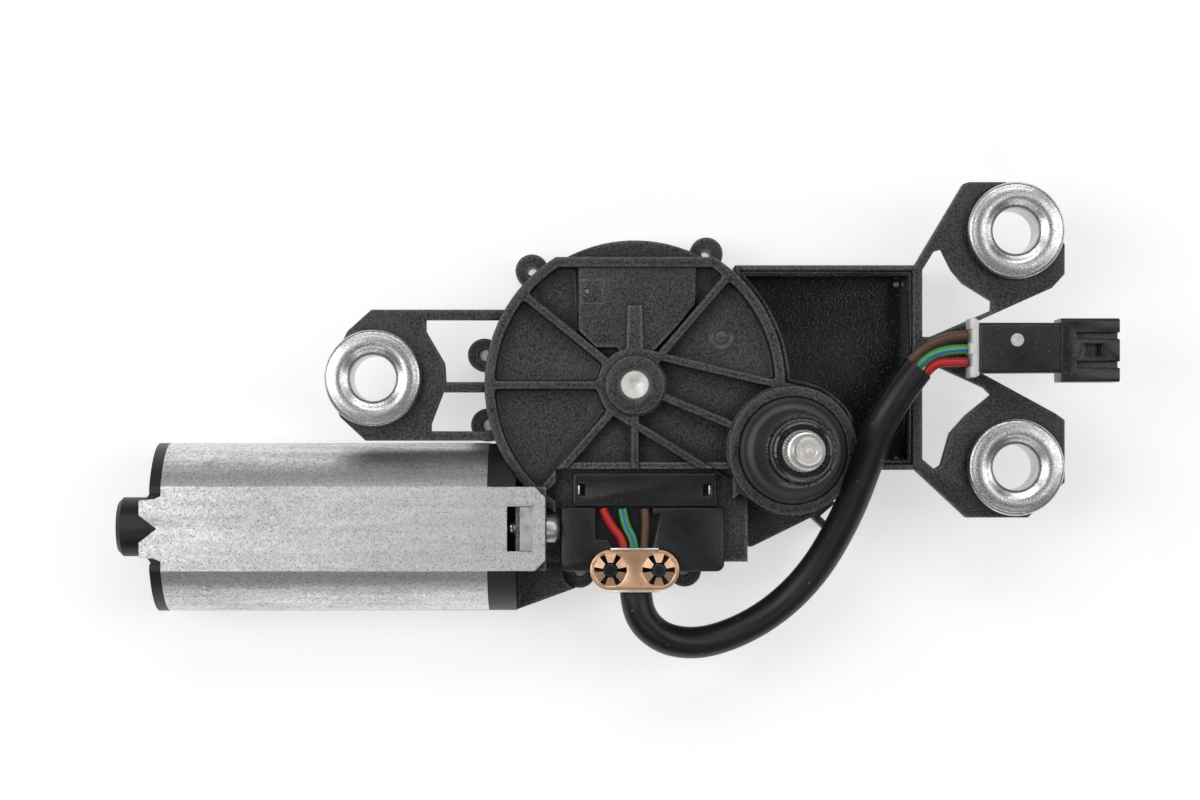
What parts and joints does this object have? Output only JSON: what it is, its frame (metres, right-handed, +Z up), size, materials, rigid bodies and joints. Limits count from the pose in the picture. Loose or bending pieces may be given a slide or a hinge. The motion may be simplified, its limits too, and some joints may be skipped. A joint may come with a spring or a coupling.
{
  "type": "wiper motor",
  "caption": "Electric wiper motor with flattened motor tube, ribbed cast gearbox, swinging output shaft, bracket arms on rubber-bushed sleeves and a short sheathed cable.",
  "frame": {"origin": "on the output shaft's axis, on the surface that the motor lies on: the lower face of the foot under the shaft", "axes": "+Z up along the output shaft towards its stud, +X along the motor tube from its end cap towards the gearbox"},
  "size_m": [0.249, 0.1195, 0.087],
  "materials": {
    "black_plastic": "black moulded plastic",
    "black_rubber": "black rubber",
    "black_sheath": "black cable sheath",
    "board_green": "green circuit board",
    "bright_zinc": "bright zinc-plated steel",
    "brown_insulation": "brown wire insulation",
    "carbon": "carbon",
    "cast_black": "black powder-coated die casting, fine grain",
    "connector_plastic": "smooth black connector plastic",
    "copper_steel": "copper-coloured plated steel",
    "copper_wire": "copper",
    "ferrite": "ferrite magnet",
    "gloss_black_plastic": "glossy black moulded plastic",
    "green_insulation": "green wire insulation with a blue stripe",
    "ground_steel": "ground steel",
    "lamination_steel": "laminated steel",
    "pale_plastic": "pale acetal plastic",
    "pale_zinc": "zinc-plated nut",
    "red_insulation": "red wire insulation",
    "screw_steel": "zinc-plated screw",
    "shaft_steel": "turned steel",
    "sintered_bronze": "oil-filled sintered bronze",
    "smooth_black_plastic": "smooth black moulded plastic",
    "spring_steel": "spring steel",
    "stamped_steel": "stamped steel",
    "white_seal": "white silicone seal",
    "zinc_plate": "zinc-plated sheet steel"
  },
  "bodies": {
    "root": {"back_cover": "black_plastic", "brush_holder": "black_plastic", "brush_springs": "spring_steel", "cable_clamp": "copper_steel", "cable_sheath": "black_sheath", "cable_wire_brown": "brown_insulation", "cable_wire_green": "green_insulation", "cable_wire_red": "red_insulation", "can_magnets": "ferrite", "can_nuts": "pale_zinc", "can_screws": "screw_steel", "carbon_brushes": "carbon", "choke_coils": "copper_wire", "circuit_board": "board_green", "connector": "connector_plastic", "connector_seal": "white_seal", "contact_fingers": "copper_wire", "cover_screws": "screw_steel", "electronics_tray": "gloss_black_plastic", "end_cap": "black_plastic", "front_bearing": "sintered_bronze", "gear_housing": "cast_black", "lead_wire_brown": "brown_insulation", "lead_wire_green": "green_insulation", "lead_wire_red": "red_insulation", "motor_can": "zinc_plate", "mount_grommet_bottom": "black_rubber", "mount_grommet_left": "black_rubber", "mount_grommet_top": "black_rubber", "mount_sleeve_bottom": "bright_zinc", "mount_sleeve_left": "bright_zinc", "mount_sleeve_top": "bright_zinc", "rear_bearing": "sintered_bronze", "shaft_boot": "black_rubber", "shaft_bush": "sintered_bronze", "shaft_seal": "black_rubber", "terminal_box": "smooth_black_plastic", "terminal_cover": "smooth_black_plastic", "thrust_pad": "pale_plastic", "wheel_clip": "spring_steel", "wheel_pin": "ground_steel"},
    "armature": {"armature_shaft": "ground_steel", "armature_core": "lamination_steel", "armature_winding": "copper_wire", "commutator": "copper_wire"},
    "wheel": {"worm_wheel": "pale_plastic", "contact_disc": "copper_wire"},
    "output": {"output_shaft": "shaft_steel", "output_pinion": "ground_steel", "shaft_clip": "spring_steel"},
    "link": {"guide_link": "stamped_steel", "sector_pin": "ground_steel"},
    "rod": {"sector_rod": "stamped_steel", "crank_pin": "ground_steel"}
  },
  "joints": [
    {"name": "wheel_spin", "type": "hinge", "parent": "root", "child": "wheel", "pos_m": [-0.0393, 0.0163, 0.0185], "axis": [0, 0, 1], "continuous": true},
    {"name": "armature_spin", "type": "hinge", "parent": "root", "child": "armature", "pos_m": [-0.1, -0.0194, 0.0185], "axis": [1, 0, 0], "continuous": true},
    {"name": "output_swing", "type": "hinge", "parent": "root", "child": "output", "pos_m": [0, 0, 0.04], "axis": [0, 0, 1], "range_deg": [-50, 50]},
    {"name": "link_swing", "type": "hinge", "parent": "root", "child": "link", "pos_m": [0, 0, 0.0055], "axis": [0, 0, 1], "range_deg": [-17, 17]},
    {"name": "rod_swing", "type": "hinge", "parent": "link", "child": "rod", "pos_m": [-0.01655, -0.01293, 0.0085], "axis": [0, 0, 1], "range_deg": [-17, 17]}
  ],
  "couplings": [
    {"joint": "armature_spin", "follows": "wheel_spin", "ratio": -62},
    {"joint": "link_swing", "follows": "output_swing", "ratio": 0.33333},
    {"joint": "rod_swing", "follows": "output_swing", "ratio": -0.33333}
  ]
}
